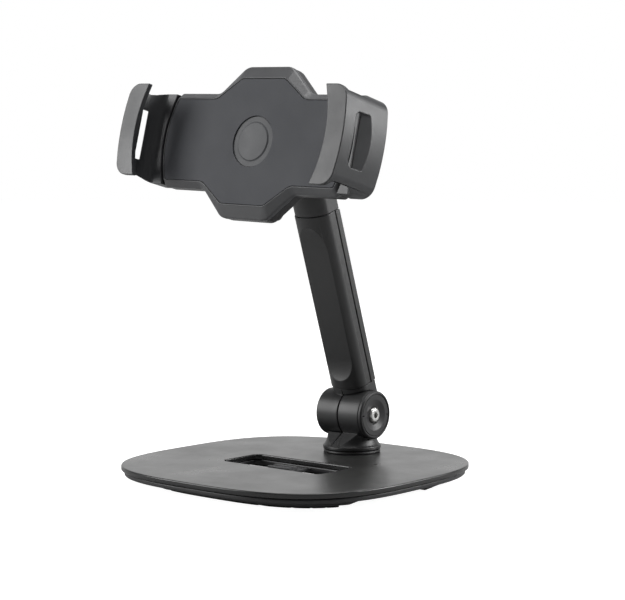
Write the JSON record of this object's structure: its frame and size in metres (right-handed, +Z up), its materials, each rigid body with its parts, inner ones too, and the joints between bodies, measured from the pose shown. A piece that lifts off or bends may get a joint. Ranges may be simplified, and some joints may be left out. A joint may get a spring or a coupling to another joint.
{
  "type": "tablet holder stand",
  "caption": "Desktop tablet and phone holder: spring-closed jaws on a tilting, turning clamp, carried by a jointed arm on a weighted rounded-square base.",
  "frame": {"origin": "on the floor under the middle of the base plate", "axes": "+Z up, -Y the side the pad faces, +X along both hinge axes towards the screw heads"},
  "size_m": [0.185, 0.182, 0.244],
  "materials": {
    "base_coating": "satin powder coat with a fine even grain",
    "moulded_black": "satin moulded black",
    "satin_black_metal": "satin black coating on die-cast and extruded aluminium",
    "frame_plastic": "fine matt moulded dark grey",
    "shell_plastic": "satin moulded black",
    "jaw_plastic": "satin moulded dark grey",
    "pad_rubber": "matt silicone sheet",
    "foot_rubber": "matt rubber",
    "clip_rubber": "matt moulded rubber",
    "bright_steel": "bright plated",
    "dark_steel": "black zinc",
    "nylon": "natural nylon"
  },
  "bodies": {
    "base": {"base_plate": "base_coating", "base_tray": "moulded_black", "front_foot_rail": "moulded_black", "rear_foot_rail": "moulded_black", "front_foot_pad": "foot_rubber", "rear_foot_pad": "foot_rubber", "front_weight": "dark_steel", "rear_weight": "dark_steel", "cable_clip": "clip_rubber", "base_screw_1": "dark_steel", "base_screw_2": "dark_steel", "base_screw_3": "dark_steel", "base_screw_4": "dark_steel", "post_seat_ring": "moulded_black", "swivel_spring_washer": "bright_steel"},
    "post": {"post": "satin_black_metal", "swivel_bolt": "dark_steel", "lower_pivot_screw": "bright_steel", "lower_disc_cap": "moulded_black", "lower_friction_washer": "nylon"},
    "arm": {"lower_knuckle": "satin_black_metal", "lower_pivot_nut": "dark_steel", "lower_end_plug": "moulded_black", "arm_front_shell": "satin_black_metal", "arm_frame": "satin_black_metal", "arm_rear_cover": "satin_black_metal", "arm_core_bar": "dark_steel", "arm_screw_1": "dark_steel", "arm_screw_2": "dark_steel", "upper_knuckle": "satin_black_metal", "upper_pivot_nut": "dark_steel", "upper_end_plug": "moulded_black"},
    "bracket": {"tilt_bracket": "satin_black_metal", "upper_pivot_screw": "bright_steel", "upper_disc_cap": "moulded_black", "upper_friction_washer": "nylon", "spin_washer": "nylon", "spindle_plate": "dark_steel", "spindle_screw": "bright_steel"},
    "holder": {"front_frame": "frame_plastic", "rear_shell": "shell_plastic", "front_pad": "pad_rubber", "centre_cap": "pad_rubber", "return_spring": "bright_steel", "shell_screw_1": "dark_steel", "shell_screw_2": "dark_steel", "shell_screw_3": "dark_steel", "shell_screw_4": "dark_steel"},
    "left_jaw": {"left_jaw": "jaw_plastic", "left_rack": "nylon", "left_lip_pad": "foot_rubber"},
    "right_jaw": {"right_jaw": "jaw_plastic", "right_rack": "nylon", "right_lip_pad": "foot_rubber"},
    "pinion": {"pinion": "nylon"}
  },
  "joints": [
    {"name": "post_swivel", "type": "hinge", "parent": "base", "child": "post", "pos_m": [0, 0.0536, 0.0136], "axis": [0, 0, 1], "continuous": true},
    {"name": "lower_tilt", "type": "hinge", "parent": "post", "child": "arm", "pos_m": [0, 0.0536, 0.0354], "axis": [1, 0, 0], "range_deg": [-55, 45]},
    {"name": "upper_tilt", "type": "hinge", "parent": "arm", "child": "bracket", "pos_m": [0, 0.00124, 0.19187], "axis": [1, 0, 0], "range_deg": [-78, 35]},
    {"name": "holder_spin", "type": "hinge", "parent": "bracket", "child": "holder", "pos_m": [0, -0.0376, 0.20056], "axis": [0, -0.9759, 0.2181], "continuous": true},
    {"name": "left_jaw_slide", "type": "slide", "parent": "holder", "child": "left_jaw", "axis": [-0.999, 0.0099, 0.0443], "range_m": [0, 0.035], "stiffness_N_per_m": 150, "springref_m": -0.03},
    {"name": "right_jaw_slide", "type": "slide", "parent": "holder", "child": "right_jaw", "axis": [0.999, -0.0099, -0.0443], "range_m": [0, 0.035]},
    {"name": "pinion_spin", "type": "hinge", "parent": "holder", "child": "pinion", "pos_m": [0, -0.0376, 0.20056], "axis": [0, -0.9759, 0.2181], "range_deg": [0, 334.3]}
  ],
  "couplings": [
    {"joint": "right_jaw_slide", "follows": "left_jaw_slide", "ratio": 1},
    {"joint": "pinion_spin", "follows": "left_jaw_slide", "rad_per_m": 166.67}
  ]
}
